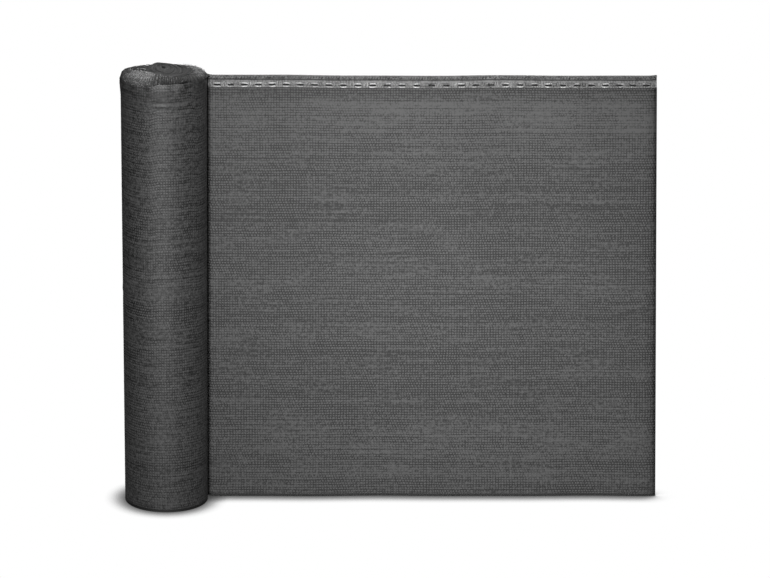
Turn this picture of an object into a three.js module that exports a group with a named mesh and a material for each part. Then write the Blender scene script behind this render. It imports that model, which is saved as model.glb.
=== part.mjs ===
// A privacy fence screen: one long strip of knitted net, most of it wound into an upright roll,
// with about a metre drawn off the roll's right side and standing on its lower edge.
// A denser strip with buttonholes runs along the top edge, for cable ties or a cord.
// Millimetres, +Z up. The origin is on the floor at the roll's axis, +X runs along the free cloth
// and -Y is the side that faces the viewer.

import * as THREE from 'three';

// Cloth.
const CLOTH_HEIGHT = 1000;
const BAND_HEIGHT = 29;          // buttonhole strip with its selvedge, along the top edge
const SHEET_THICKNESS = 1.6;
const BAND_THICKNESS = 2;
const CLEARANCE = 0.3;           // left between neighbouring pieces
const FREE_END_X = 1099;
const CURL = { length: 26, depth: 4 };           // the cut end turns back a little
const TOP_SAG = { depth: 2, from: 180, to: 420 };  // the top edge drops slightly away from the roll
const SHEET_WAVES = [
  { depth: 1.5, length: 430, rise: 2600, phase: 0.6 },
  { depth: 0.9, length: 245, rise: 1150, phase: 2.1 },
];
const WAVES_START = { from: 140, to: 260 };

// Roll.
const ROLL = { footRadius: 94, topRadius: 98, footShiftX: 3.3 };
const RIM = { height: 1006, slope: 0.086 };      // the rim is higher at the front than at the back
const EXIT_DEG = 40;             // where the outer turn is laid off the roll, from +X towards +Y
const STEP_DEG = 1.5;            // width of the step that the last turn makes there
const SHEET_PLANE_Y = 15;
const BEND_RADIUS = 22;
const TURN_PITCH = 11;           // width of a main turn on the end face
const TURN_RIDGE = 1.9;
const CORE_RADIUS = 5;
const COLLAR_PLEATS = [
  { depth: 1.1, count: 16, phase: 0.4 },
  { depth: 0.8, count: 11, phase: 1.9 },
];
// The outer turns' banded edge bulges below the rim, leans in over it and drops to the end face.
const COLLAR = [
  { inward: 0, up: -46, pleat: 0 },
  { inward: -1.4, up: -31, pleat: 0.3 },
  { inward: -2, up: -17, pleat: 0.7 },
  { inward: -1.3, up: -7, pleat: 1 },
  { inward: 1.5, up: 0, pleat: 1 },
  { inward: 7.5, up: 6.5, pleat: 1 },
  { inward: 15, up: 11.5, pleat: 0.9 },
  { inward: 21.5, up: 12.5, pleat: 0.6 },
  { inward: 28, up: 8.5, pleat: 0.4 },
  { inward: 34, up: 1.5, pleat: 0 },
];
const COLLAR_HEIGHT = { middle: 0.85, frontMore: 0.15, atExit: 0.9 };
// On the front left the banded edge is pulled out wider and stands higher.
const LOOSE_SIDE = { degrees: 232, spread: 66, wider: 0.62, higher: 0.45 };
const BACK_DIP = { degrees: 95, spread: 85, lower: 0.62 };   // at the back it lies down
// The inner turns have slid up into a low mound, steep on the left and long on the right.
const MOUND = { x: -13, y: 20, height: 23, left: 28, right: 74, front: 58, back: 42, roundness: 0.45 };
const WALL_HEIGHTS = [2, 240, 480, 720];
const FOOT_EDGE = 2;             // rounding of the foot's edge
const ANGLE_STEPS = 72;

// Buttonholes: the knit is stretched a little towards the middle, so the pitch grows there.
const HOLE = { count: 31, firstX: 118.4, endPitch: 30, extraPitch: 3, z: 977.8 };
const HOLE_SHAPE = { length: 15, height: 5.6, corner: 1.4 };
const HOLE_CORNER_STEPS = 2;
const SHEET_ROWS = 9;
const SHEET_STEP = 46;
const BEND_STEP = 5.5;

const radians = THREE.MathUtils.degToRad;
const smooth = THREE.MathUtils.smoothstep;
const mix = THREE.MathUtils.lerp;

// Radius and centre of the wound body at height z, before the last turn's step.
const wallRadius = (z) => mix(ROLL.footRadius, ROLL.topRadius, z / CLOTH_HEIGHT);
const wallCentreX = (z) => mix(ROLL.footShiftX, 0, Math.min(z / CLOTH_HEIGHT, 1));

// The last turn lies on the one before it, so the radius falls by one cloth over a full circle.
const LAST_TURN = SHEET_THICKNESS + CLEARANCE;
const turnDrop = (angle) => {
  const turned = (angle - radians(EXIT_DEG)) / (2 * Math.PI);
  return LAST_TURN * (turned - Math.floor(turned));
};

// 0 next to the place where the sheet leaves the roll, 1 away from it.
const awayFromExit = (angle) => {
  const degrees = THREE.MathUtils.radToDeg(angle) - EXIT_DEG / 2;
  const apart = Math.abs(((degrees % 360) + 540) % 360 - 180);
  return smooth(apart, 28, 62);
};

const pleats = (angle) => COLLAR_PLEATS.reduce(
  (sum, pleat) => sum + pleat.depth * Math.sin(pleat.count * angle + pleat.phase), 0);

const rimHeight = (y) => RIM.height - RIM.slope * y;

// 1 in the middle of a place on the collar, 0 away from it.
const nearTo = (place, angle) => {
  const degrees = THREE.MathUtils.radToDeg(angle) - place.degrees;
  const apart = Math.abs(((degrees % 360) + 540) % 360 - 180);
  return 0.5 + 0.5 * Math.cos(Math.PI * Math.min(apart / place.spread, 1));
};
const collarWidth = (inward, angle) => inward * (1 + LOOSE_SIDE.wider * nearTo(LOOSE_SIDE, angle));

function moundHeight(x, y) {
  const across = (x - MOUND.x) / (x < MOUND.x ? MOUND.left : MOUND.right);
  const deep = (y - MOUND.y) / (y < MOUND.y ? MOUND.front : MOUND.back);
  const reach = Math.min(Math.hypot(across, deep), 1);
  return MOUND.height * (0.5 + 0.5 * Math.cos(Math.PI * reach)) ** MOUND.roundness;
}

// One ring of the collar: a row of the table, turned round the roll.
function collarPoint(row, angle) {
  const away = awayFromExit(angle);
  const inward = row.inward < 0 ? row.inward * away : collarWidth(row.inward, angle);
  const radius = ROLL.topRadius - turnDrop(angle) - inward + row.pleat * away * pleats(angle);
  const y = radius * Math.sin(angle);
  const lift = 1 + LOOSE_SIDE.higher * nearTo(LOOSE_SIDE, angle);
  const upright = COLLAR_HEIGHT.middle - COLLAR_HEIGHT.frontMore * Math.sin(angle);
  const taller = (upright - BACK_DIP.lower * nearTo(BACK_DIP, angle)) * lift;
  const rise = row.up > 0 ? row.up * taller * mix(COLLAR_HEIGHT.atExit, 1, away) : row.up;
  const z = rimHeight(y) + rise;
  return [radius * Math.cos(angle) + wallCentreX(z), y, z];
}

// The end face inside the collar: main turns as spiral ridges, lifted into the mound.
function endFacePoint(radius, angle) {
  const x = radius * Math.cos(angle);
  const y = radius * Math.sin(angle);
  const turn = radius / TURN_PITCH - angle / (2 * Math.PI);
  const ridge = TURN_RIDGE * Math.cos(2 * Math.PI * turn) * smooth(radius, 3, 14);
  return [x, y, rimHeight(y) - 1 + ridge + moundHeight(x, y)];
}

function rollRings() {
  const rings = [];
  rings.push((angle) => {
    const radius = ROLL.footRadius - FOOT_EDGE;
    return [radius * Math.cos(angle) + ROLL.footShiftX, radius * Math.sin(angle), 0];
  });
  for (const z of WALL_HEIGHTS) {
    rings.push((angle) => {
      const radius = wallRadius(z) - turnDrop(angle);
      return [radius * Math.cos(angle) + wallCentreX(z), radius * Math.sin(angle), z];
    });
  }
  for (const row of COLLAR) rings.push((angle) => collarPoint(row, angle));
  const collarReach = COLLAR[COLLAR.length - 1].inward;
  const count = Math.floor((ROLL.topRadius - collarReach - CORE_RADIUS) / (TURN_PITCH / 4));
  for (let i = 1; i <= count; i += 1) {
    rings.push((angle) => {
      const innerRadius = ROLL.topRadius - turnDrop(angle) - collarWidth(collarReach, angle);
      return endFacePoint(mix(innerRadius, CORE_RADIUS, i / count), angle);
    });
  }
  return rings;
}

// A body lofted through the rings and closed with a fan at each end.
function makeRoll() {
  const start = radians(EXIT_DEG);
  const turn = radians(360 - STEP_DEG) / ANGLE_STEPS;
  const rings = rollRings();
  const positions = [ROLL.footShiftX, 0, 0];
  for (const ring of rings) {
    for (let i = 0; i <= ANGLE_STEPS; i += 1) positions.push(...ring(start + i * turn));
  }
  const top = positions.length / 3;
  positions.push(0, 0, endFacePoint(0, 0)[2]);

  const perRing = ANGLE_STEPS + 1;
  const at = (ring, i) => 1 + ring * perRing + (i % perRing);
  const indices = [];
  for (let i = 0; i < perRing; i += 1) {
    indices.push(0, at(0, i + 1), at(0, i));
    indices.push(top, at(rings.length - 1, i), at(rings.length - 1, i + 1));
    for (let ring = 0; ring + 1 < rings.length; ring += 1) {
      indices.push(at(ring, i), at(ring, i + 1), at(ring + 1, i + 1));
      indices.push(at(ring, i), at(ring + 1, i + 1), at(ring + 1, i));
    }
  }
  return toGeometry(positions, indices);
}

// Where the middle of the free cloth runs at height z. Along the flat part, "along" is x; before
// it, the cloth bends round BEND_RADIUS and then lies on the roll, and "along" counts its length.
function clothLine(along, z) {
  const laidRadius = wallRadius(z) - LAST_TURN * 0.94 + CLEARANCE + BAND_THICKNESS / 2;
  const leave = Math.asin((SHEET_PLANE_Y + BEND_RADIUS) / (laidRadius + BEND_RADIUS));
  const bendX = wallCentreX(z) + (laidRadius + BEND_RADIUS) * Math.cos(leave);
  const bendLength = BEND_RADIUS * (Math.PI / 2 - leave);
  const back = bendX - along;
  if (back <= 0) {
    return { x: along, y: SHEET_PLANE_Y + sheetWave(along, z), normal: [0, 1] };
  }
  if (back <= bendLength) {
    const angle = back / BEND_RADIUS;
    const normal = [Math.sin(angle), Math.cos(angle)];
    return {
      x: bendX - BEND_RADIUS * normal[0],
      y: SHEET_PLANE_Y + BEND_RADIUS * (1 - normal[1]),
      normal,
    };
  }
  const angle = leave + (back - bendLength) / laidRadius;
  const x = wallCentreX(z) + laidRadius * Math.cos(angle);
  return { x, y: laidRadius * Math.sin(angle), normal: [Math.cos(angle), Math.sin(angle)] };
}

function sheetWave(along, z) {
  const shown = smooth(along, WAVES_START.from, WAVES_START.to);
  const waves = SHEET_WAVES.reduce((sum, wave) => sum
    + wave.depth * Math.sin(2 * Math.PI * (along / wave.length + z / wave.rise) + wave.phase), 0);
  const curl = CURL.depth * smooth(along, FREE_END_X - CURL.length, FREE_END_X) ** 2;
  return shown * waves + curl;
}

const sagAt = (along, z) => TOP_SAG.depth * smooth(along, TOP_SAG.from, TOP_SAG.to) * z / CLOTH_HEIGHT;

// Gives a flat pattern of (along, z) points and triangles its place and its thickness. Edges that
// only one triangle uses become the walls, round the outside and inside each hole.
function thicken(pattern, triangles, thickness) {
  const positions = [];
  for (const side of [-1, 1]) {
    for (const [along, z] of pattern) {
      const line = clothLine(along, z);
      const offset = side * thickness / 2;
      positions.push(line.x + line.normal[0] * offset, line.y + line.normal[1] * offset);
      positions.push(z - sagAt(along, z));
    }
  }
  const indices = [];
  const edges = new Map();
  for (const [a, b, c] of triangles) {
    indices.push(a, b, c, a + pattern.length, c + pattern.length, b + pattern.length);
    for (const [from, to] of [[a, b], [b, c], [c, a]]) {
      if (!edges.delete(`${to},${from}`)) edges.set(`${from},${to}`, [from, to]);
    }
  }
  for (const [from, to] of edges.values()) {
    indices.push(to, from, from + pattern.length);
    indices.push(to, from + pattern.length, to + pattern.length);
  }
  return toGeometry(positions, indices);
}

// Stations along the cloth: close together round the bend, wide apart on the flat.
function stations() {
  const start = clothStart();
  const flat = ROLL.topRadius + BEND_RADIUS;
  const list = [];
  const bendSteps = Math.ceil((flat - start) / BEND_STEP);
  for (let i = 0; i < bendSteps; i += 1) list.push(mix(start, flat, i / bendSteps));
  const curlX = FREE_END_X - CURL.length;
  const flatSteps = Math.round((curlX - flat) / SHEET_STEP);
  for (let i = 0; i < flatSteps; i += 1) list.push(mix(flat, curlX, i / flatSteps));
  list.push(curlX, mix(curlX, FREE_END_X, 0.5), FREE_END_X);
  return list;
}

// The free cloth starts on the roll, just inside the step of the last turn.
function clothStart() {
  const laidLength = wallRadius(CLOTH_HEIGHT) * radians(EXIT_DEG - 2.5);
  const bendLength = BEND_RADIUS * Math.PI / 2;
  const flat = ROLL.topRadius + BEND_RADIUS;
  const leave = Math.asin((SHEET_PLANE_Y + BEND_RADIUS) / flat);
  const turnedLength = (BEND_RADIUS + wallRadius(CLOTH_HEIGHT)) * leave;
  return flat * Math.cos(leave) - bendLength + turnedLength - laidLength;
}

function makeSheet() {
  const columns = stations();
  const topEdge = CLOTH_HEIGHT - BAND_HEIGHT - CLEARANCE;
  const pattern = [];
  for (const along of columns) {
    for (let row = 0; row <= SHEET_ROWS; row += 1) pattern.push([along, topEdge * row / SHEET_ROWS]);
  }
  const perColumn = SHEET_ROWS + 1;
  const triangles = [];
  for (let i = 0; i + 1 < columns.length; i += 1) {
    for (let row = 0; row < SHEET_ROWS; row += 1) {
      const a = i * perColumn + row;
      triangles.push([a, a + perColumn, a + perColumn + 1], [a, a + perColumn + 1, a + 1]);
    }
  }
  return thicken(pattern, triangles, SHEET_THICKNESS);
}

function holeCentres() {
  const centres = [HOLE.firstX];
  for (let i = 0; i + 1 < HOLE.count; i += 1) {
    const pitch = HOLE.endPitch + HOLE.extraPitch * Math.sin(Math.PI * (i + 0.5) / (HOLE.count - 1));
    centres.push(centres[i] + pitch);
  }
  return centres;
}

// A buttonhole's outline, a long box with rounded corners, turning clockwise.
function holeOutline(centre) {
  const { length, height, corner } = HOLE_SHAPE;
  const outline = [];
  const turns = [[1, 1], [1, -1], [-1, -1], [-1, 1]];
  turns.forEach(([across, up], quarter) => {
    for (let i = 0; i <= HOLE_CORNER_STEPS; i += 1) {
      const angle = Math.PI / 2 * (1 - quarter - i / HOLE_CORNER_STEPS);
      outline.push(new THREE.Vector2(
        centre + across * (length / 2 - corner) + corner * Math.cos(angle),
        HOLE.z + up * (height / 2 - corner) + corner * Math.sin(angle)));
    }
  });
  return outline;
}

// The band is a row of cells, plain ones round the bend and one with a hole for each buttonhole.
function makeButtonholeBand() {
  const bottomEdge = CLOTH_HEIGHT - BAND_HEIGHT;
  const centres = holeCentres();
  const firstCell = centres[0] - HOLE.endPitch / 2;
  const plainSteps = Math.ceil((firstCell - clothStart()) / BEND_STEP);
  const borders = [];
  for (let i = 0; i < plainSteps; i += 1) borders.push(mix(clothStart(), firstCell, i / plainSteps));
  borders.push(firstCell);
  for (let i = 1; i < centres.length; i += 1) borders.push((centres[i - 1] + centres[i]) / 2);
  const lastCell = centres[centres.length - 1] + HOLE_SHAPE.length / 2 + 2;
  borders.push(lastCell, mix(lastCell, FREE_END_X, 0.5), FREE_END_X);

  const pattern = [];
  for (const along of borders) pattern.push([along, bottomEdge], [along, CLOTH_HEIGHT]);
  const triangles = [];
  for (let i = 0; i + 1 < borders.length; i += 1) {
    const corners = [2 * i, 2 * i + 2, 2 * i + 3, 2 * i + 1];
    const centre = centres[i - plainSteps];
    const hole = centre === undefined ? [] : holeOutline(centre);
    const contour = corners.map((corner) => new THREE.Vector2(...pattern[corner]));
    const names = [...corners, ...hole.map((point, k) => pattern.length + k)];
    for (const point of hole) pattern.push([point.x, point.y]);
    for (const face of THREE.ShapeUtils.triangulateShape(contour, hole.length ? [hole] : [])) {
      triangles.push(face.map((k) => names[k]));
    }
  }
  return thicken(pattern, triangles, BAND_THICKNESS);
}

function toGeometry(positions, indices) {
  const geometry = new THREE.BufferGeometry();
  geometry.setAttribute('position', new THREE.Float32BufferAttribute(positions, 3));
  geometry.setIndex(indices);
  geometry.computeVertexNormals();
  return geometry;
}

function addPiece(group, name, geometry, color, roughness) {
  const material = new THREE.MeshStandardMaterial({ color, roughness, metalness: 0 });
  const mesh = new THREE.Mesh(geometry, material);
  mesh.name = name;
  group.add(mesh);
}

const screen = new THREE.Group();
screen.name = 'privacy_fence_screen';
addPiece(screen, 'roll', makeRoll(), 0x46484a, 0.8);
addPiece(screen, 'sheet', makeSheet(), 0x5a5c5e, 0.8);
addPiece(screen, 'buttonhole_band', makeButtonholeBand(), 0x85878a, 0.75);

export default screen;
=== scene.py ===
# A privacy fence screen: one strip of dark knitted net about 25 m long and 1 m high. Most of it is
# wound into an upright roll, and about a metre is drawn off to the right and stands on its edge.
import math

import bpy
import numpy as np
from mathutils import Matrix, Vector


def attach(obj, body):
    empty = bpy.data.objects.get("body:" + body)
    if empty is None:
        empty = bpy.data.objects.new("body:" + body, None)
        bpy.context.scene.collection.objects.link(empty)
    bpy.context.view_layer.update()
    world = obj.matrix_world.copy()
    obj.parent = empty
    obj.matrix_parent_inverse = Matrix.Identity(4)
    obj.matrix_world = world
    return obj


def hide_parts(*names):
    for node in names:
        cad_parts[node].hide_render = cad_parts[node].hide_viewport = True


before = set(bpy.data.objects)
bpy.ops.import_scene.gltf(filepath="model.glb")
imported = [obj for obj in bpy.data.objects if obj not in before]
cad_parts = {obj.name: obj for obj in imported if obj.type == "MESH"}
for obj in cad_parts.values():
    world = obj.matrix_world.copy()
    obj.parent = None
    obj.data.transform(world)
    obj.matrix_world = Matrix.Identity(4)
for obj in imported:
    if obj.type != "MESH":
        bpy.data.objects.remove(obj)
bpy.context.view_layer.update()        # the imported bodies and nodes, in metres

# Studio
# A camera with a very long lens at the photograph's height above the floor, a white floor and
# room, and three soft lights: in front of the cloth, above the roll and behind.
VIEW_HEIGHT = math.radians(19.66)
VIEW_DISTANCE = 52.0
PIXELS_PER_METRE = 447.2
AIM = Vector((0.4928, 0.015, 0.4927))

scene = bpy.context.scene
scene.view_settings.view_transform = "Standard"

camera = bpy.data.objects.new("camera", bpy.data.cameras.new("camera"))
camera.data.lens = camera.data.sensor_width * VIEW_DISTANCE * PIXELS_PER_METRE / 770
camera.data.clip_end = 200
camera.location = AIM + VIEW_DISTANCE * Vector((0, -math.cos(VIEW_HEIGHT), math.sin(VIEW_HEIGHT)))
camera.rotation_euler = (math.pi / 2 - VIEW_HEIGHT, 0, 0)
scene.collection.objects.link(camera)
scene.camera = camera


def add_light(name, place, target, size, watts, spread):
    """A square soft light that faces the target; spread in degrees narrows its beam."""
    lamp = bpy.data.lights.new(name, "AREA")
    lamp.size, lamp.energy, lamp.spread = size, watts, math.radians(spread)
    light = bpy.data.objects.new(name, lamp)
    light.location = place
    light.rotation_euler = (Vector(target) - Vector(place)).to_track_quat("-Z", "Y").to_euler()
    scene.collection.objects.link(light)


add_light("front_light", (-0.3, -3.0, 1.7), (0.70, 0, 0.47), 0.7, 9.0, spread=46)
add_light("top_light", (0.1, 0.1, 2.6), (0.1, 0.1, 0), 1.0, 11, spread=120)
add_light("back_light", (0.4, 3.2, 0.7), (0.45, 0, 0.5), 0.9, 10, spread=60)


def feed(tree, socket, value):
    """Links the socket to another one, or gives it a plain value."""
    if isinstance(value, bpy.types.NodeSocket):
        tree.links.new(value, socket)
    else:
        socket.default_value = value


def add_node(tree, kind, settings=(), **values):
    """A new node with its settings, and its named inputs fed. An underscore stands for a space."""
    node = tree.nodes.new(kind)
    for key, value in dict(settings).items():
        setattr(node, key, value)
    for label, value in values.items():
        feed(tree, node.inputs[label.replace("_", " ")], value)
    return node


def maths(tree, operation, *values):
    node = tree.nodes.new("ShaderNodeMath")
    node.operation = operation
    for socket, value in zip(node.inputs, values):
        feed(tree, socket, value)
    return node.outputs[0]


def ramp(tree, value, stops):
    """A smooth grey ramp through (position, level) stops."""
    node = tree.nodes.new("ShaderNodeValToRGB")
    feed(tree, node.inputs["Fac"], value)
    elements = node.color_ramp.elements
    while len(elements) < len(stops):
        elements.new(0.5)
    for element, (position, level) in zip(elements, stops):
        element.position = position
        element.color = (level, level, level, 1)
    return node.outputs["Color"]


def show_directly(tree, lit, seen, output):
    """The lit shader lights the scene, and the seen one is what the camera sees of it."""
    direct = add_node(tree, "ShaderNodeLightPath").outputs["Is Camera Ray"]
    chosen = add_node(tree, "ShaderNodeMixShader", Fac=direct)
    tree.links.new(lit.outputs[0], chosen.inputs[1])
    tree.links.new(seen.outputs[0], chosen.inputs[2])
    tree.links.new(chosen.outputs[0], add_node(tree, output).inputs["Surface"])


world = bpy.data.worlds.new("studio_room")
scene.world = world
world.use_nodes = True
room = world.node_tree
room.nodes.clear()
dim = add_node(room, "ShaderNodeBackground", Color=(1, 1, 1, 1), Strength=0.03)
white = add_node(room, "ShaderNodeBackground", Color=(1, 1, 1, 1), Strength=1.0)
show_directly(room, dim, white, "ShaderNodeOutputWorld")

# The floor is white, and greys only close to what stands on it: a painted contact shadow, its tone
# set by ambient occlusion.
FLOOR_SHADE = ((0.0, 0.01), (0.42, 0.08), (0.5, 0.13), (0.6, 0.21), (0.69, 0.33), (0.77, 0.49),
               (0.85, 0.72), (0.93, 0.90), (0.98, 0.98), (1.0, 1.0))
floor_material = bpy.data.materials.new("white_floor")
floor_material.use_nodes = True
tree = floor_material.node_tree
tree.nodes.clear()
shade = add_node(tree, "ShaderNodeAmbientOcclusion", {"samples": 16},
                 Distance=0.05, Normal=(0.348, 0.348, 0.87))
floor_shadow_glow = add_node(tree, "ShaderNodeEmission", Color=ramp(tree, shade.outputs["AO"], FLOOR_SHADE))
matt = add_node(tree, "ShaderNodeBsdfDiffuse", Color=(0.12, 0.12, 0.12, 1))
show_directly(tree, matt, floor_shadow_glow, "ShaderNodeOutputMaterial")

floor_mesh = bpy.data.meshes.new("floor")
floor_mesh.from_pydata([(-6, -6, 0), (7, -6, 0), (7, 6, 0), (-6, 6, 0)], [], [(0, 1, 2, 3)])
floor_mesh.materials.append(floor_material)
floor = bpy.data.objects.new("floor", floor_mesh)
scene.collection.objects.link(floor)

# Free net
# The metre of net that is drawn off the roll: flat plastic tape yarn knitted in fine courses, with
# small pores. It leaves the roll on the right, bends round and stands on its lower selvedge.
CLOTH_HEIGHT = 1.0
STRIP_FOOT = 0.971               # the buttonhole strip starts here
PALE_TOP = 0.9886                # above this the strip is dark selvedge
COURSE = 0.00597                 # height of one knitted course
STITCH = 0.0062
NET_THICKNESS = 0.001
FREE_END = 1.099
ROLL_RADIUS = 0.098              # at the top
LAST_TURN = 0.0019               # step of the last turn on the roll
LAID_TURN = 0.94                 # where the free net starts, as a share of the last turn
LAID_OUT = 0.0013                # how far it lies out there
BEND_RADIUS = 0.022
SHEET_PLANE = 0.015              # y of the flat part
RIB_RELIEF = 0.00016
EXIT = math.radians(40)          # where the outer turn is laid off the roll
SLOW_WAVES = ((0.0015, 0.43, 2.6, 0.6), (0.0009, 0.245, 1.15, 2.1))   # depth, two lengths, start
CURL = (0.004, 0.026)            # depth and length of the curl at the cut end


def smooth(value, low, high):
    part = np.clip((value - low) / (high - low), 0, 1)
    return part * part * (3 - 2 * part)


def wall_radius(z):
    return 0.094 + 0.004 * z


def wall_centre_x(z):
    return 0.0033 * (1 - np.minimum(z, 1))


def net_wave(along, z):
    """How far the free net stands behind its plane: two slow waves, and the curl of the cut end."""
    waves = sum(depth * np.sin(2 * np.pi * (along / length + z / height) + start)
                for depth, length, height, start in SLOW_WAVES)
    curl = CURL[0] * smooth(along, FREE_END - CURL[1], FREE_END) ** 2
    return smooth(along, 0.14, 0.26) * waves + curl


def cloth_points(along, z, out):
    """Points of the free cloth: along the flat part "along" is x, and before it the cloth bends
    and lies on the roll. out is the distance behind its middle, away from the viewer."""
    along, z = np.broadcast_arrays(along, z)
    laid = wall_radius(z) - LAST_TURN * LAID_TURN + LAID_OUT
    leave = np.arcsin((SHEET_PLANE + BEND_RADIUS) / (laid + BEND_RADIUS))
    bend_x = wall_centre_x(z) + (laid + BEND_RADIUS) * np.cos(leave)
    bend_length = BEND_RADIUS * (np.pi / 2 - leave)
    back = bend_x - along
    bend = back / BEND_RADIUS
    turned = leave + (back - bend_length) / laid
    parts = [back <= 0, back <= bend_length]
    x = np.select(parts, [along, bend_x - BEND_RADIUS * np.sin(bend)],
                  wall_centre_x(z) + laid * np.cos(turned))
    y = np.select(parts, [SHEET_PLANE + net_wave(along, z),
                          SHEET_PLANE + BEND_RADIUS * (1 - np.cos(bend))], laid * np.sin(turned))
    normal_x = np.select(parts, [0 * along, np.sin(bend)], np.cos(turned))
    normal_y = np.select(parts, [0 * along + 1, np.cos(bend)], np.sin(turned))
    sag = 0.002 * smooth(along, 0.18, 0.42) * z
    return np.stack([x + normal_x * out, y + normal_y * out, z - sag], -1)


def grid_quads(rows, columns):
    index = np.arange(rows * columns).reshape(rows, columns)
    return np.stack([index[:-1, :-1], index[:-1, 1:], index[1:, 1:], index[1:, :-1]], -1)


def cloth_mesh(name, points, uv, quads):
    """A smooth mesh whose UV map holds each point's place on the cloth, in metres."""
    mesh = bpy.data.meshes.new(name)
    mesh.from_pydata(points.reshape(-1, 3).tolist(), [], quads.tolist())
    layer = mesh.uv_layers.new(name="cloth_place")
    layer.data.foreach_set("uv", uv.reshape(-1, 2)[quads].astype(np.float32).ravel())
    mesh.shade_smooth()
    return mesh


def grid_mesh(name, points, uv, kept=None):
    """A mesh of quads between rows and columns of points; kept leaves some quads out."""
    quads = grid_quads(*points.shape[:2])
    return cloth_mesh(name, points, uv, quads[kept] if kept is not None else quads.reshape(-1, 4))


def add_piece(name, mesh, material):
    piece = bpy.data.objects.new(name, mesh)
    scene.collection.objects.link(piece)
    mesh.materials.append(material)
    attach(piece, "root")
    return piece


def thicken(piece, thickness):
    """Gives a sheet its thickness, half to each side, as a plain mesh."""
    modifier = piece.modifiers.new("thickness", "SOLIDIFY")
    modifier.thickness, modifier.offset = thickness, 0
    depsgraph = bpy.context.evaluated_depsgraph_get()
    mesh = bpy.data.meshes.new_from_object(piece.evaluated_get(depsgraph))
    piece.modifiers.remove(modifier)
    piece.data = mesh


def rib(z_index, along, seed):
    """Relief of the courses: every other row of points stands proud, unevenly along the cloth."""
    random = np.random.default_rng(seed)
    rows = z_index.size
    phase, pace = random.uniform(0, 6.28, rows), random.uniform(4, 11, rows)
    uneven = 0.75 + 0.45 * np.sin(pace[:, None] * along[None, :] + phase[:, None])
    return RIB_RELIEF * uneven * np.where(z_index % 2, 1, -1)[:, None]


# The knit as a pattern: courses of stitches with a pore between them, long streaks where the yarn
# lies closer, bands of tone, one painted light, and the zones of the buttonhole strip, the selvedge
# and the lower edge.
COURSE_WEIGHT, STITCH_WEIGHT, CROSS_WEIGHT = 0.22, 0.18, 0.2
TUFT_HEIGHT = 0.0076
# Bands of tone run the whole length: height, half width, tone. The narrow ones are denser yarn; the
# broad pale one high up is painted light, the top of the net lit more from above.
DENSE_BANDS_AND_PAINTED_LIGHT = ((0.06, 0.05, 0.65), (0.11, 0.02, 0.65), (0.25, 0.02, 0.37), (0.3, 0.02, 0.34),
               (0.35, 0.02, 0.37), (0.38, 0.01, 0.6), (0.445, 0.05, 0.3), (0.49, 0.01, 0.6),
               (0.55, 0.02, 0.38), (0.655, 0.05, 0.24), (0.735, 0.025, 0.36), (0.92, 0.125, 0.93),
               (0.9655, 0.0015, 0.25))


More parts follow.
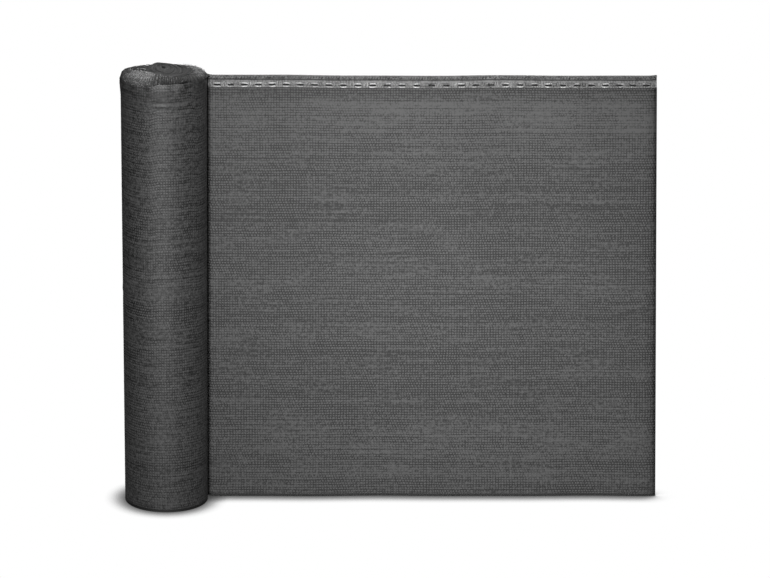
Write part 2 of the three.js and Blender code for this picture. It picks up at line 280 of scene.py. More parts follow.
def knit_group():
    group = bpy.data.node_groups.new("knit", "ShaderNodeTree")
    group.interface.new_socket("Place", in_out="INPUT", socket_type="NodeSocketVector")
    for label, value in (("Course", COURSE), ("Stitch", STITCH), ("Wobble", 0.002),
                         ("Grain", 1.9), ("Long streaks", 1.5), ("Bands", 0.8)):
        group.interface.new_socket(
            label, in_out="INPUT", socket_type="NodeSocketFloat").default_value = value
    for label in ("Threads", "Pores", "Streaks", "Pale strip", "Selvedge", "Selvedge foot",
                  "Foot edge", "Tufts", "Height"):
        group.interface.new_socket(label, in_out="OUTPUT", socket_type="NodeSocketFloat")
    given = group.nodes.new("NodeGroupInput").outputs
    result = group.nodes.new("NodeGroupOutput").inputs

    def vectors(operation, first, second):
        node = group.nodes.new("ShaderNodeVectorMath")
        node.operation = operation
        feed(group, node.inputs[0], first)
        feed(group, node.inputs[1], second)
        return node.outputs[0]

    def noise(scale, detail, output="Fac"):
        stretched = vectors("MULTIPLY", given["Place"], scale)
        node = add_node(group, "ShaderNodeTexNoise", Vector=stretched, Scale=1.0, Detail=detail,
                        Roughness=0.6)
        return node.outputs[output]

    def spread(value, low, high, least, most):
        """The value stretched from low..high to least..most, and kept within it."""
        return add_node(group, "ShaderNodeMapRange", Value=value, From_Min=low, From_Max=high,
                        To_Min=least, To_Max=most).outputs[0]

    shift = vectors("SUBTRACT", noise((70, 150, 0), 2, "Color"), (0.5, 0.5, 0.5))
    reach = add_node(group, "ShaderNodeCombineXYZ", X=given["Wobble"], Y=given["Wobble"])
    moved = vectors("ADD", given["Place"], vectors("MULTIPLY", shift, reach.outputs[0]))
    place = add_node(group, "ShaderNodeSeparateXYZ", Vector=moved).outputs
    turn = 2 * math.pi
    course = maths(group, "COSINE", maths(group, "MULTIPLY", turn,
                                          maths(group, "DIVIDE", place["Y"], given["Course"])))
    # In some patches the stitches stand in columns, in others each course is shifted a little.
    line = maths(group, "ROUND", maths(group, "DIVIDE", place["Y"], given["Course"]))
    slant = spread(noise((13, 16, 0), 1), 0.46, 0.58, 0.0, 1.0)
    clear = spread(noise((9, 21, 3), 2), 0.36, 0.62, 0.35, 1.6)
    shifted = maths(group, "MULTIPLY", slant, maths(
        group, "FRACT", maths(group, "DIVIDE", line, 3.0)))
    phase = maths(group, "ADD", maths(group, "DIVIDE", place["X"], given["Stitch"]), shifted)
    stitch = maths(group, "COSINE", maths(group, "MULTIPLY", turn, phase))
    both = maths(group, "ADD", maths(group, "MULTIPLY", course, COURSE_WEIGHT),
                 maths(group, "MULTIPLY", stitch, STITCH_WEIGHT))
    both = maths(group, "ADD", both, maths(group, "MULTIPLY", maths(
        group, "MULTIPLY", course, stitch), CROSS_WEIGHT))
    threads = maths(group, "MULTIPLY_ADD", both, clear, 0.5)
    tufted = maths(group, "MULTIPLY_ADD", maths(group, "MULTIPLY", stitch, maths(
        group, "COSINE", maths(group, "MULTIPLY", place["Y"], turn / TUFT_HEIGHT))), 0.9, 0.5)
    pores = maths(group, "SMOOTH_MIN", 1.0, maths(
        group, "MAXIMUM", 0.0, maths(group, "MULTIPLY_ADD", threads, -7.0, 1.6)), 0.2)

    cell = add_node(group, "ShaderNodeCombineXYZ", X=maths(group, "ROUND", phase), Y=line)
    each = add_node(group, "ShaderNodeTexWhiteNoise", {"noise_dimensions": "2D"},
                    Vector=cell.outputs[0]).outputs["Value"]

    long_streaks = noise((0.6, 150, 0), 3)
    short_streaks = noise((13, 175, 0), 2)
    broad_streaks = noise((0.3, 17, 0), 1)
    grain = noise((175, 175, 0), 2)
    edges = add_node(group, "ShaderNodeSeparateXYZ", Vector=given["Place"]).outputs
    stops = [(0.0, 0.5)]
    for height, half, tone in DENSE_BANDS_AND_PAINTED_LIGHT:
        stops += [(height - half, 0.5), (height, tone)]
    bands = ramp(group, edges["Y"], stops + [(0.955, 0.5), (1.0, 0.5)])
    total = 0.0
    for value, share in ((long_streaks, given["Long streaks"]), (short_streaks, 1.0),
                         (broad_streaks, 0.25), (grain, given["Grain"]), (bands, given["Bands"]),
                         (each, 0.45)):
        centred = maths(group, "SUBTRACT", value, 0.5)
        total = maths(group, "ADD", total, maths(group, "MULTIPLY", centred, share))
    streaks = maths(group, "ADD", total, 0.5)

    def rise(low, high):
        node = add_node(group, "ShaderNodeMapRange", {"interpolation_type": "SMOOTHSTEP"},
                        Value=edges["Y"], From_Min=low, From_Max=high)
        return node.outputs[0]

    selvedge = rise(PALE_TOP - 0.0006, PALE_TOP + 0.0006)
    strip = maths(group, "SUBTRACT", rise(STRIP_FOOT - 0.0003, STRIP_FOOT + 0.0006), selvedge)
    height = maths(group, "ADD", maths(group, "MULTIPLY", threads, 0.7),
                   maths(group, "MULTIPLY", grain, 0.5))
    for label, value in (("Threads", threads), ("Pores", pores), ("Streaks", streaks),
                         ("Pale strip", strip), ("Selvedge", selvedge),
                         ("Selvedge foot", maths(group, "MULTIPLY", selvedge, maths(
                             group, "SUBTRACT", 1.0, rise(0.9912, 0.993)))),
                         ("Foot edge", maths(group, "SUBTRACT", 1.0, rise(0.005, 0.0075))),
                         ("Tufts", tufted), ("Height", height)):
        feed(group, result[label], value)
    return group


knit = knit_group()


def grey(level):
    return (level, level, level, 1)


def blend(tree, factor, first, second):
    node = tree.nodes.new("ShaderNodeMix")
    node.data_type = "RGBA"
    feed(tree, node.inputs[0], factor)
    feed(tree, node.inputs[6], first)
    feed(tree, node.inputs[7], second)
    return node.outputs[2]


def start_material(name, roughness, specular):
    """A material of plastic yarn: also its tree, its Principled BSDF and the cloth's place."""
    material = bpy.data.materials.new(name)
    material.use_nodes = True
    tree = material.node_tree
    shader = tree.nodes["Principled BSDF"]
    shader.inputs["Roughness"].default_value = roughness
    shader.inputs["Specular IOR Level"].default_value = specular
    shader.inputs["IOR"].default_value = 1.6
    place = add_node(tree, "ShaderNodeUVMap", {"uv_map": "cloth_place"}).outputs[0]
    return material, tree, shader, place


def knit_material(name, dark, light, contrast, streak, strip, selvedge, roughness, specular,
                  **knit_values):
    """Knitted yarn between a dark and a light tone, with tones for the strip and the selvedge."""
    material, tree, shader, place = start_material(name, roughness, specular)
    cloth = add_node(tree, "ShaderNodeGroup", {"node_tree": knit}, Place=place,
                     **knit_values).outputs
    shade = maths(tree, "ADD", maths(tree, "MULTIPLY", cloth["Threads"], contrast),
                  maths(tree, "MULTIPLY", cloth["Streaks"], streak))
    shade = maths(tree, "ADD", shade, 0.5 - contrast / 2 - streak / 2)
    colour = blend(tree, shade, grey(dark), grey(light))
    pale = blend(tree, shade, grey(strip * 0.55), grey(strip * 1.4))
    colour = blend(tree, cloth["Pale strip"], colour, pale)
    tufted = maths(tree, "ADD", maths(tree, "MULTIPLY", cloth["Tufts"], 0.8), maths(
        tree, "MULTIPLY_ADD", shade, 0.7, -0.25))
    tufts = blend(tree, tufted, grey(selvedge * 0.03), grey(selvedge * 3.0))
    colour = blend(tree, cloth["Selvedge"], colour, tufts)
    foot = maths(tree, "MULTIPLY", cloth["Selvedge foot"], 0.75)
    colour = blend(tree, foot, colour, grey(selvedge * 0.15))
    colour = blend(tree, cloth["Foot edge"], colour, grey(dark * 0.55))
    # The pores are painted near black: painted shade in the pits between the threads.
    colour = blend(tree, maths(tree, "MULTIPLY", cloth["Pores"], 0.7), colour, grey(dark * 0.25))
    feed(tree, shader.inputs["Base Color"], colour)
    bump = add_node(tree, "ShaderNodeBump", Strength=0.5, Distance=0.0007, Height=cloth["Height"])
    feed(tree, shader.inputs["Normal"], bump.outputs[0])
    return material


net_material = knit_material("net_knit", dark=0.004, light=0.099, contrast=2.1, streak=1.15,
                             strip=0.27, selvedge=0.078, roughness=0.72, specular=1.0)

net_start = 0.0525               # where the free net starts, laid on the roll
flat_from = 0.118                # up to here it bends, in shorter steps
along = np.concatenate([np.linspace(net_start, flat_from, 14),
                        np.linspace(flat_from, FREE_END, 96)[1:]])
rows = round((STRIP_FOOT - 0.0003) / (COURSE / 2))
z = np.linspace(0.0004, STRIP_FOOT - 0.0003, rows + 1)
relief = rib(np.arange(rows + 1), along, seed=3)
points = cloth_points(along[None, :], z[:, None], relief)
uv = np.stack(np.broadcast_arrays(along[None, :], z[:, None]), -1)
free_net = add_piece("free_net", grid_mesh("free_net", points, uv), net_material)
thicken(free_net, NET_THICKNESS)
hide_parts("sheet")

# Outer turn
# The last turn of net on the roll, drawn tight. A few slanting creases show where it was pulled
# on, and its top edge stands up as a free lip at the front right.
LIP = ((250, 0), (262, 0.9), (275, 1), (308, 1), (322, 0))      # degrees, share
OUTER_TURN_ENDS = (37.6, 398.4)  # degrees
OUTER_TURN_AT = 5                # metres between the knit's patterns here and on the free net
# Height from the rim, and how far the wall bulges out there.
BULGE_UP = (-0.046, -0.031, -0.017, -0.007, 0.0, 0.006)
BULGE_OUT = (0.0, 0.0014, 0.002, 0.0013, -0.0008, -0.0028)
# Creases: place in degrees and height, half length, rise in that length, width, depth.
CREASES = (
    (318, 0.955, 0.050, 0.030, 0.0035, 0.0011), (326, 0.925, 0.045, 0.034, 0.004, 0.0012),
    (308, 0.968, 0.045, 0.016, 0.003, 0.0009), (331, 0.885, 0.040, 0.030, 0.0045, 0.0010),
    (314, 0.905, 0.050, 0.022, 0.0045, 0.0009), (300, 0.940, 0.060, 0.012, 0.003, 0.0008),
    (262, 0.975, 0.080, 0.002, 0.0022, 0.0011), (268, 0.962, 0.090, -0.003, 0.0025, 0.0011),
    (275, 0.989, 0.080, 0.006, 0.0018, 0.0010), (284, 0.999, 0.050, 0.006, 0.0015, 0.0009),
    (250, 0.947, 0.060, -0.004, 0.003, 0.0006), (322, 0.845, 0.045, 0.020, 0.005, 0.0007),
    (312, 0.095, 0.060, 0.024, 0.005, 0.0009), (322, 0.060, 0.050, 0.026, 0.005, 0.0009),
    (292, 0.075, 0.060, 0.012, 0.005, 0.0006), (235, 0.420, 0.090, -0.010, 0.006, 0.0005),
    (288, 0.560, 0.100, 0.014, 0.006, 0.0004), (300, 0.300, 0.090, 0.020, 0.006, 0.0006),
    (215, 0.730, 0.080, -0.016, 0.006, 0.0006), (120, 0.880, 0.070, -0.030, 0.005, 0.0010),
    (95, 0.820, 0.070, -0.026, 0.006, 0.0009), (140, 0.150, 0.080, 0.024, 0.006, 0.0008),
    (170, 0.500, 0.100, 0.014, 0.007, 0.0007),
)


def around(angle, table):
    """A value that a table of (degrees, value) gives round the roll."""
    degrees, values = zip(*table)
    return np.interp(np.degrees(angle) % 360, degrees, values, period=360)


def turn_drop(angle):
    """How far the roll's radius has dropped by this place, from the start of its last turn."""
    return LAST_TURN * (((angle - EXIT) / (2 * np.pi)) % 1)


def rim_height(y):
    """Height of the roll's rim, which leans down towards the back."""
    return 1.006 - 0.086 * y


def away_from_exit(angle):
    """0 where the net leaves the roll, 1 away from there."""
    apart = np.abs((np.degrees(angle) - 20 + 180) % 360 - 180)
    return smooth(apart, 28, 62)


def main_pleats(angle):
    return 0.0011 * np.sin(16 * angle + 0.4) + 0.0008 * np.sin(11 * angle + 1.9)


def crease_relief(angle, z):
    relief = 0 * angle * z
    for degrees, height, half, rise, width, depth in CREASES:
        off = np.radians((np.degrees(angle) - degrees + 180) % 360 - 180) * 0.097
        tilt = rise / half
        across = ((z - height) - tilt * off) / math.hypot(1, tilt)
        fade = np.clip(1 - (off / half) ** 2, 0, 1) ** 2
        ridge = np.exp(-(across / width) ** 2)
        trough = 0.6 * np.exp(-((across + 1.6 * width) / width) ** 2)
        relief = relief + depth * fade * (ridge - trough)
    return relief


angle = np.radians(np.linspace(*OUTER_TURN_ENDS, 128))[None, :]
rows = round(STRIP_FOOT / (COURSE / 2))
part = np.linspace(0, 1, rows + 1)[:, None]
rim = rim_height(ROLL_RADIUS * np.sin(angle))
wall_top = rim - 0.007 + 0.007 * around(angle, LIP)
z = part * wall_top
out = np.interp(z - rim, BULGE_UP, BULGE_OUT)
away = away_from_exit(angle)
out = np.where(out > 0, out * away, out)
out = out + away * main_pleats(angle) * smooth(z - rim, -0.03, -0.006)
out = out + rib(np.arange(rows + 1), angle[0] * ROLL_RADIUS, seed=5) + crease_relief(angle, z)
radius = wall_radius(np.minimum(z, 1)) - turn_drop(angle) - 0.0003 + out
points = np.stack([wall_centre_x(z) + radius * np.cos(angle), radius * np.sin(angle), z], -1)
uv = np.stack(np.broadcast_arrays(OUTER_TURN_AT + angle * ROLL_RADIUS, part * 0.968), -1)

wound_material = knit_material("wound_net_knit", dark=0.004, light=0.104, contrast=1.0, streak=1.0,
                               strip=0.1, selvedge=0.1, roughness=0.6, specular=1.0, Grain=2.0,
                               Long_streaks=1.0, Bands=0.3, Wobble=0.0013)
outer_turn = add_piece("outer_turn", grid_mesh("outer_turn", points, uv), wound_material)
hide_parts("roll")

# Wound turns
# The rest of the net, about 80 turns under the outer one, each 1.17 mm thick. Their top edges end
# a little unevenly, and the inner ones have slid up into a low mound.
TURN_PITCH = 0.00117
CORE_RADIUS = 0.005
MAIN_TURN = 0.011                # turns lie in groups this wide, which show as ridges
UNEVEN = 0.0003
MOUND_AT, MOUND_HEIGHT = (-0.013, 0.02), 0.023
PULLED_OUT = (232, 66)           # the strip is pulled out here: degrees, and degrees to each side
ROWS_BELOW = (1.2, 0.5, 0.12, 0.04, 0.014, 0.005, 0.0018, 0.0, 0.0002)   # from each turn's top
BRIM = 0.00095                   # the top row lies this much further in: the cloth's thickness


def near_to(angle, degrees, spread):
    """1 at a place on the roll's rim, 0 at that many degrees from it."""
    apart = np.abs((np.degrees(angle) - degrees + 180) % 360 - 180)
    return 0.5 + 0.5 * np.cos(np.pi * np.minimum(apart / spread, 1))


def edge_height(angle):
    """How high the folded edge stands round the roll: low at the back, high at the front left."""
    height = 0.85 - 0.15 * np.sin(angle) - 0.62 * near_to(angle, 95, 85)
    return (height * (1 + 0.45 * near_to(angle, *PULLED_OUT))
            * (0.9 + 0.1 * away_from_exit(angle)))


def mound_height(x, y):
    across = (x - MOUND_AT[0]) / np.where(x < MOUND_AT[0], 0.028, 0.074)
    deep = (y - MOUND_AT[1]) / np.where(y < MOUND_AT[1], 0.058, 0.042)
    reach = np.minimum(np.hypot(across, deep), 1)
    return MOUND_HEIGHT * (0.5 + 0.5 * np.cos(np.pi * reach)) ** 0.45


def end_face_height(radius, angle):
    x, y = radius * np.cos(angle), radius * np.sin(angle)
    ridge = 0.0014 * np.cos(2 * np.pi * (radius / MAIN_TURN - angle / (2 * np.pi)))
    return rim_height(y) - 0.001 + ridge * smooth(radius, 0.003, 0.014) + mound_height(x, y)


turned, radii, length = [EXIT + 2 * math.pi], [ROLL_RADIUS - LAST_TURN - 0.0011], [0.0]
while radii[-1] > CORE_RADIUS:
    step = min(0.007, 0.35 * radii[-1])
    turned.append(turned[-1] + step / radii[-1])
    radii.append(radii[-1] - TURN_PITCH * step / (2 * math.pi * radii[-1]))
    length.append(length[-1] + step)
turned, radii, length = np.array(turned)[None, :], np.array(radii)[None, :], np.array(length)
random = np.random.default_rng(11)
knots = np.arange(0, length[-1] + 0.06, 0.03)
uneven = UNEVEN * np.interp(length, knots, random.normal(0, 1, knots.size))
# Under the folded edge the turns end lower.
covered = smooth(radii, 0.066, 0.073)
filled = 0.0135 * edge_height(turned) * smooth(radii, 0.012, 0.055)
mound = mound_height(radii * np.cos(turned), radii * np.sin(turned))
filled = filled * (1 - 0.9 * np.minimum(mound / 0.02, 1))
grouped = 0.0003 * np.sin(2 * np.pi * radii / 0.0043 + 1.5 * np.sin(turned / 3))
top = end_face_height(radii, turned) + filled - 0.0015 + np.clip(uneven + grouped, -0.002, 0.0016)
top = top * (1 - covered) + (rim_height(radii * np.sin(turned)) - 0.012) * covered
below = np.array(ROWS_BELOW)[:, None]
brim = np.append(np.zeros(len(ROWS_BELOW) - 1), BRIM)[:, None]
foot = 0.0004 + np.abs(uneven)
z = np.maximum(top - below, foot)
lean = smooth(z, 0.9, 1.0) * 0.0004 * np.sin(7 * turned)
wind_radius = radii * wall_radius(np.minimum(z, 1)) / ROLL_RADIUS + lean - brim
points = np.stack([wall_centre_x(z) + wind_radius * np.cos(turned),
                   wind_radius * np.sin(turned), z], -1)
uv = np.stack(np.broadcast_arrays(length[None, :], CLOTH_HEIGHT - (top - z)), -1)


def keep_values(mesh, name, values, shape):
    """Keeps a value for each point, for the material or the geometry nodes to read."""
    values = np.broadcast_to(values, shape).astype(np.float32).ravel()
    mesh.attributes.new(name, "FLOAT", "POINT").data.foreach_set("value", values)


def turn_edges_material():
    """The edges of the turns, some lighter than others, so that they show as thin curved lines."""
    material, tree, shader, place = start_material("turn_edges", 0.75, 0.5)
    tone = add_node(tree, "ShaderNodeAttribute", {"attribute_name": "turn_tone"}).outputs["Fac"]
    grain = add_node(tree, "ShaderNodeTexNoise", Vector=place, Scale=260.0, Detail=2.0)
    shade = maths(tree, "ADD", tone, maths(tree, "MULTIPLY_ADD", grain.outputs["Fac"], 1.2, -0.6))
    feed(tree, shader.inputs["Base Color"], blend(tree, shade, grey(0.02), grey(0.09)))
    return material


wander = 1.1 * np.sin(turned) + 0.8 * np.sin(turned / 5)
lines = 0.5 + 0.5 * np.sin(2 * np.pi * radii / 0.0041 + wander)
knots = np.arange(0, length[-1] + 0.2, 0.13)
arcs = np.interp(length, knots, random.uniform(0, 1, knots.size))
mesh = grid_mesh("wound_turns", points, uv)
keep_values(mesh, "turn_tone", 0.6 * lines + 0.5 * arcs[None, :], points.shape[:2])
wound_turns = add_piece("wound_turns", mesh, turn_edges_material())

# Folded edge
# The strip's edge of the outer turns leans in over the rim in small pleats. At the front left it
# is pulled out wider, with its pale side up; elsewhere mostly the dark selvedge shows.
COLLAR = np.array([                 # inward, up, share of the pleats
    (-0.0013, -0.007, 1), (0.0015, 0, 1), (0.0075, 0.0065, 1), (0.015, 0.0115, 0.9),
    (0.0215, 0.0125, 0.6), (0.028, 0.0085, 0.4), (0.034, 0.0015, 0),
])
# Round the roll, in degrees: how much pale yarn shows, and how deep the fine pleats are.
PALE = ((0, 0.75), (22, 0.8), (42, 0.5), (65, 0.2), (110, 0.08), (160, 0.08), (190, 0.15),
        (205, 0.7), (225, 1.3), (242, 1.1), (258, 0.5), (275, 0.3), (290, 0.16), (302, 0.08),
        (325, 0.1), (342, 0.7))
FINE_PLEATS = ((0, 0.5), (60, 0.4), (180, 0.5), (235, 0.7), (252, 1.7), (300, 1.9), (330, 0.6))


def along_collar(part):
    """The collar's profile as a smooth curve through its rows, part from 0 to 1."""
    last = len(COLLAR) - 1
    spot = np.clip(part * last, 0, last - 1e-9)
    i = spot.astype(int)
    t = (spot - i)[:, None]
    p0, p1 = COLLAR[np.maximum(i - 1, 0)], COLLAR[i]
    p2, p3 = COLLAR[i + 1], COLLAR[np.minimum(i + 2, last)]
    square, cube = 2 * p0 - 5 * p1 + 4 * p2 - p3, 3 * (p1 - p2) + p3 - p0
    return p1 + 0.5 * t * (p2 - p0 + t * (square + t * cube))


angle = np.radians(np.linspace(40, 398.8, 520))[None, :]
part = np.linspace(0, 1, 30)
inward, up, pleat = (column[:, None] for column in along_collar(part).T)
away, loose = away_from_exit(angle), near_to(angle, *PULLED_OUT)
fine = np.sin(92 * angle + 2.2 * np.sin(5 * angle) + 1.3 * np.sin(13 * angle))
fine = fine * around(angle, FINE_PLEATS) * np.sin(np.pi * np.clip(part[:, None] * 1.15, 0, 1))
lip = around(angle, LIP) * np.exp(-(part[:, None] / 0.25) ** 2)
inward = np.where(inward < 0, inward * away, inward * (1 + 0.62 * loose)) + 0.013 * lip
radius = ROLL_RADIUS - turn_drop(angle) - inward
radius = radius + pleat * away * main_pleats(angle) + 0.0004 * fine
height = edge_height(angle)
y = radius * np.sin(angle)
z = rim_height(y) + np.where(up > 0, up * height, up) + 0.0008 * fine - 0.008 * lip
points = np.stack([wall_centre_x(z) + radius * np.cos(angle), y, z], -1)
uv = np.stack(np.broadcast_arrays(angle * ROLL_RADIUS, STRIP_FOOT + 0.028 * part[:, None]), -1)


def folded_edge_material():
    material, tree, shader, place = start_material("folded_strip_knit", 0.68, 0.4)
    cloth = add_node(tree, "ShaderNodeGroup", {"node_tree": knit}, Place=place, Wobble=0.003)
    pale = add_node(tree, "ShaderNodeAttribute", {"attribute_name": "pale"}).outputs["Fac"]
    pleat_shade = add_node(tree, "ShaderNodeAttribute", {"attribute_name": "pleat"}).outputs["Fac"]
    tufts = add_node(tree, "ShaderNodeTexNoise", Vector=place, Scale=430.0, Detail=3.0)
    patches = add_node(tree, "ShaderNodeTexNoise", Vector=place, Scale=70.0, Detail=2.0)
    mottle = maths(tree, "MULTIPLY_ADD", tufts.outputs["Fac"], 4.0, -1.45)
    broad = maths(tree, "MULTIPLY_ADD", patches.outputs["Fac"], 1.6, -0.3)
    shown = maths(tree, "MULTIPLY", pale, maths(tree, "MULTIPLY", mottle, broad))
    # Pleat crests are painted lighter and the troughs darker: painted light and shade on the fine
    # pleats.
    shown = maths(tree, "MULTIPLY", shown, maths(tree, "MULTIPLY_ADD", pleat_shade, 1.3, 0.3))
    colour = blend(tree, shown, grey(0.02), grey(0.5))
    feed(tree, shader.inputs["Base Color"], colour)
    height = maths(tree, "ADD", cloth.outputs["Height"], tufts.outputs["Fac"])
    bump = add_node(tree, "ShaderNodeBump", Strength=0.7, Distance=0.001, Height=height)
    feed(tree, shader.inputs["Normal"], bump.outputs[0])
    return material


mesh = grid_mesh("folded_edge", points, uv)
dark_hem = 1 - 0.75 * smooth(part, 0.72, 0.9)[:, None]
# The rows from below the rim up to it are painted darker: painted shade at the foot of the collar,
# where it folds over the rim.
shade_at_rim = 0.4 + 0.6 * smooth(part, 0.2, 0.42)[:, None]
keep_values(mesh, "pale", around(angle, PALE) * dark_hem * shade_at_rim, points.shape[:2])
# The pleats' phase, which paints their crests lighter and their troughs darker.
keep_values(mesh, "pleat", 0.5 + 0.5 * fine, points.shape[:2])
folded_edge = add_piece("folded_edge", mesh, folded_edge_material())

# Buttonhole strip
# A dense strip knitted into the top edge of the net: a pale band with a row of buttonholes, and a
# dark tufted selvedge above it. Each hole is a slit whose two lips lie one behind the other.
STRIP_THICKNESS = 0.0014
HOLES = 31
FIRST_HOLE = 0.1184
HOLE_HEIGHT = 0.9778
HOLE_SIZE = (0.015, 0.0056)
HOLE_CORNER = 0.0016
GRID = 0.001

pitches = 0.030 + 0.003 * np.sin(np.pi * (np.arange(HOLES - 1) + 0.5) / (HOLES - 1))
hole_centres = FIRST_HOLE + np.concatenate([[0], np.cumsum(pitches)])


def hole_distance(along, z):
    """Distance to the nearest slit's edge, less than 0 inside the slit."""
    nearest = hole_centres[np.abs(along[..., None] - hole_centres).argmin(-1)]
    dx = np.abs(along - nearest) - (HOLE_SIZE[0] / 2 - HOLE_CORNER)
    dz = np.abs(z - HOLE_HEIGHT) - (HOLE_SIZE[1] / 2 - HOLE_CORNER)
    inside = np.minimum(np.maximum(dx, dz), 0)
    return np.hypot(np.maximum(dx, 0), np.maximum(dz, 0)) + inside - HOLE_CORNER


along = np.arange(net_start, FREE_END + GRID / 2, GRID)[None, :]
z = np.linspace(STRIP_FOOT + 0.0003, CLOTH_HEIGHT, 30)[:, None]
along, z = (grid.copy() for grid in np.broadcast_arrays(along, z))
distance = hole_distance(along, z)
step = 1e-5
slope_x = (hole_distance(along + step, z) - distance) / step
slope_z = (hole_distance(along, z + step) - distance) / step
# Points near a slit move onto its edge, and the quads inside it are left out.
snap = np.where(np.abs(distance) < 0.55 * GRID, distance, 0)
along, z = along - snap * slope_x, z - snap * slope_z
centre = [0.25 * (a[:-1, :-1] + a[1:, :-1] + a[:-1, 1:] + a[1:, 1:]) for a in (along, z)]
kept = hole_distance(*centre) > 0
random = np.random.default_rng(7)
tufted = smooth(z, PALE_TOP - 0.001, PALE_TOP + 0.0015)
wander = 2.4 * np.sin(along * 61)
knots = 0.5 + 0.5 * np.sin(2 * np.pi * along / 0.0052 + wander) * np.sin(z * 1300)
lips = np.exp(-(np.maximum(distance, 0) / 0.0012) ** 2)
out = -0.0007 * tufted * knots - 0.0006 * lips - 0.0002 * random.random(along.shape)
points = cloth_points(along, z, out)
strip_material = knit_material("strip_knit", dark=0.017, light=0.094, contrast=1.3, streak=1.5,
                               strip=0.21, selvedge=0.102, roughness=0.72, specular=0.7)
mesh = grid_mesh("buttonhole_strip", points, np.stack([along, z], -1), kept)
strip = add_piece("buttonhole_strip", mesh, strip_material)
thicken(strip, STRIP_THICKNESS)
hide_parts("buttonhole_band")

# Lips of the buttonholes
# Ends of yarn close each slit from above and below, the upper lip in front and the lower behind,
# so a cable tie slips between them; the lower lips are coloured near black, painted shade, so the
# slit looks dark. They are knitted on with the strip.
LIP_REACH = {1: 0.0027, -1: 0.0042}
LIP_KNIT = 0.965                 # their knit is taken from below the strip's zone, so it is plain


def lip_mesh(name, side):
    """The upper (1) or lower (-1) lips: a small sheet of rows and columns for each slit."""
    across = np.linspace(-0.5, 0.5, 12)[None, :]
    down = np.linspace(0, 1, 5)[:, None]
    depth = (-0.0003 - 0.0006 * down) if side > 0 else (0.0002 + 0.0008 * down)
    edge = HOLE_HEIGHT + side * (HOLE_SIZE[1] / 2 + 0.0002)
    points, uv = [], []
    for k, middle in enumerate(hole_centres):
        wavy = 0.12 * np.sin(9 * across + 1.7 * k + side)
        x = middle + across * HOLE_SIZE[0] * 0.98 + 0 * down
        rounded = 1 - (1.9 * across) ** 8 * 0.5
        height = edge - side * LIP_REACH[side] * down * (1 + wavy) * rounded
        points.append(cloth_points(x, height, depth + 0 * x))
        uv.append(np.stack([x, height - LIP_KNIT], -1))
    rows, columns = points[0].shape[:2]
    quads = [grid_quads(rows, columns).reshape(-1, 4) + k * rows * columns for k in range(HOLES)]
    return cloth_mesh(name, np.stack(points), np.stack(uv), np.concatenate(quads))


upper_material = knit_material("upper_lip_knit", dark=0.05, light=0.22, contrast=0.9, streak=1.0,
                               strip=0.1, selvedge=0.1, roughness=0.8, specular=0.3)
# The lower lips are coloured near black: painted shade behind the slits.
lower_lip_shade_material = knit_material("lower_lip_painted_shade", dark=0.008, light=0.022, contrast=0.9, streak=1.0,
                               strip=0.02, selvedge=0.02, roughness=0.8, specular=0.2)
upper_lips = add_piece("upper_lips", lip_mesh("upper_lips", 1), upper_material)
lower_lips = add_piece("lower_lips", lip_mesh("lower_lips", -1), lower_lip_shade_material)

# Rims and stitches of the buttonholes
# Pale yarn oversews each slit above and below, and wisps of it cross the strip between the slits.
# The yarn lies on the front of the strip and is held by the knit.
END_GAP = 0.0015                 # the yarn stops this far before the cut end
RIM = {"half_length": 0.0078, "above": 0.0025, "below": 0.0044, "radius": 0.0007}
WISPS = {"each": 5, "pitch": 0.0029, "height": 0.0115, "radius": 0.0005}


def growing_tree(name, numbers):
    """A Geometry Nodes tree with named number inputs. Returns the tree, what it is given, and a
    function that closes it with Realize Instances and Set Material."""
    tree = bpy.data.node_groups.new(name, "GeometryNodeTree")
    tree.interface.new_socket("Geometry", in_out="INPUT", socket_type="NodeSocketGeometry")
    for label, value in numbers.items():
        kind = "NodeSocketInt" if isinstance(value, int) else "NodeSocketFloat"
        tree.interface.new_socket(label, in_out="INPUT", socket_type=kind).default_value = value
    tree.interface.new_socket("Material", in_out="INPUT", socket_type="NodeSocketMaterial")
    tree.interface.new_socket("Geometry", in_out="OUTPUT", socket_type="NodeSocketGeometry")
    given = tree.nodes.new("NodeGroupInput").outputs

    def close(geometry):
        soft = add_node(tree, "GeometryNodeSetShadeSmooth", Geometry=geometry)
        real = add_node(tree, "GeometryNodeRealizeInstances", Geometry=soft.outputs[0])
        coloured = add_node(tree, "GeometryNodeSetMaterial", Geometry=real.outputs[0],
                            Material=given["Material"])
        tree.links.new(coloured.outputs[0], tree.nodes.new("NodeGroupOutput").inputs[0])
    return tree, given, close


def grow(name, host_mesh, tree, material, slot, **values):
    """Runs the tree on the host mesh and keeps the result as a plain mesh."""
    host = bpy.data.objects.new(name, host_mesh)
    scene.collection.objects.link(host)
    modifier = host.modifiers.new(tree.name, "NODES")
    modifier.node_group = tree
    values = {key.replace("_", " "): value for key, value in values.items()}
    for socket in tree.interface.items_tree:
        if socket.in_out == "INPUT" and socket.name in values:
            modifier[socket.identifier] = values[socket.name]
        elif socket.in_out == "INPUT" and socket.name == "Material":
            modifier[socket.identifier] = material
    depsgraph = bpy.context.evaluated_depsgraph_get()
    mesh = bpy.data.meshes.new_from_object(host.evaluated_get(depsgraph))
    bpy.data.objects.remove(host)
    piece = bpy.data.objects.new(name, mesh)
    scene.collection.objects.link(piece)
    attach(piece, "root")
    return piece


def line_mesh(name, lines):
    """A mesh of edges, one chain for each list of points."""
    points, edges = [], []
    for line in lines:
        first = len(points)
        points += line.tolist()
        edges += [(first + k, first + k + 1) for k in range(len(line) - 1)]
    mesh = bpy.data.meshes.new(name)
    mesh.from_pydata(points, edges, [])
    return mesh


